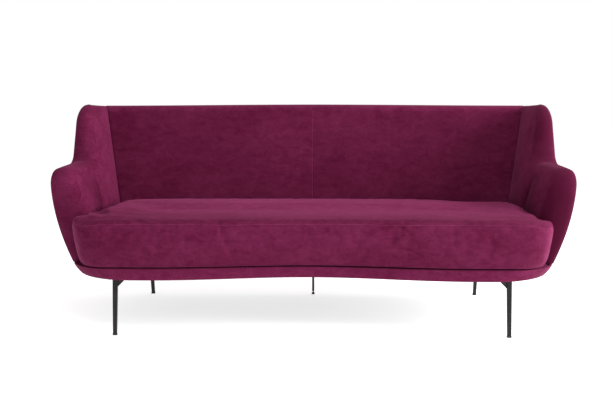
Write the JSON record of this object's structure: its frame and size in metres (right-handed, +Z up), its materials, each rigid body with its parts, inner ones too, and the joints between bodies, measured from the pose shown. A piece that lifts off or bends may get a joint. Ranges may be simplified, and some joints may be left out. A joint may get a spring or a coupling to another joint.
{
  "type": "fabric sofa",
  "caption": "Three-seat velvet sofa: flared arms run up into wings and a raked back, with a bench cushion, a slim curved base and splayed metal legs.",
  "frame": {"origin": "middle of the footprint, on the floor under the feet", "axes": "+Z up; the front faces -Y; +X to the right as seen from the front"},
  "size_m": [1.996, 0.8684, 0.8539],
  "materials": {
    "velvet": "plum velvet, brushed",
    "timber": "sanded birch plywood and beech",
    "webbing": "elastic woven webbing",
    "lining_cloth": "thin dark lining cloth",
    "zip_tape": "woven tape with nylon teeth",
    "dark_metal": "dark satin powder coat",
    "glide_plastic": "black nylon",
    "screw_steel": "zinc-plated steel"
  },
  "bodies": {
    "frame": {"front_rail": "timber", "rear_rail": "timber", "left_side_rail": "timber", "right_side_rail": "timber", "cross_rails": "timber", "leg_blocks": "timber", "left_arm_rib": "timber", "right_arm_rib": "timber", "left_wing_rib": "timber", "right_wing_rib": "timber", "left_corner_rib": "timber", "right_corner_rib": "timber", "back_ribs": "timber", "left_arm_cap": "timber", "right_arm_cap": "timber", "left_wing_cap": "timber", "right_wing_cap": "timber", "back_cap": "timber", "seat_webbing_long": "webbing", "seat_webbing_cross": "webbing", "back_webbing": "webbing", "left_inside_arm": "velvet", "right_inside_arm": "velvet", "left_inside_wing": "velvet", "right_inside_wing": "velvet", "left_inside_back": "velvet", "right_inside_back": "velvet", "left_edge_roll": "velvet", "right_edge_roll": "velvet", "back_edge_roll": "velvet", "left_outside_arm": "velvet", "right_outside_arm": "velvet", "left_outside_wing": "velvet", "right_outside_wing": "velvet", "outside_back": "velvet", "base_band": "velvet", "seat_deck": "lining_cloth", "dust_cover": "lining_cloth", "front_left_leg": "dark_metal", "front_right_leg": "dark_metal", "rear_left_leg": "dark_metal", "rear_right_leg": "dark_metal", "front_left_glide": "glide_plastic", "front_right_glide": "glide_plastic", "rear_left_glide": "glide_plastic", "rear_right_glide": "glide_plastic", "leg_screws": "screw_steel", "middle_support": "dark_metal", "support_screws": "screw_steel"},
    "cushion": {"seat_cushion": "velvet", "cushion_zip": "zip_tape"},
    "foot": {"levelling_foot": "glide_plastic"}
  },
  "joints": [
    {"name": "cushion_lift", "type": "slide", "parent": "frame", "child": "cushion", "axis": [0, 0, 1], "range_m": [0, 0.62]},
    {"name": "foot_level", "type": "slide", "parent": "frame", "child": "foot", "axis": [0, 0, 1], "range_m": [-0.006, 0.006]}
  ]
}
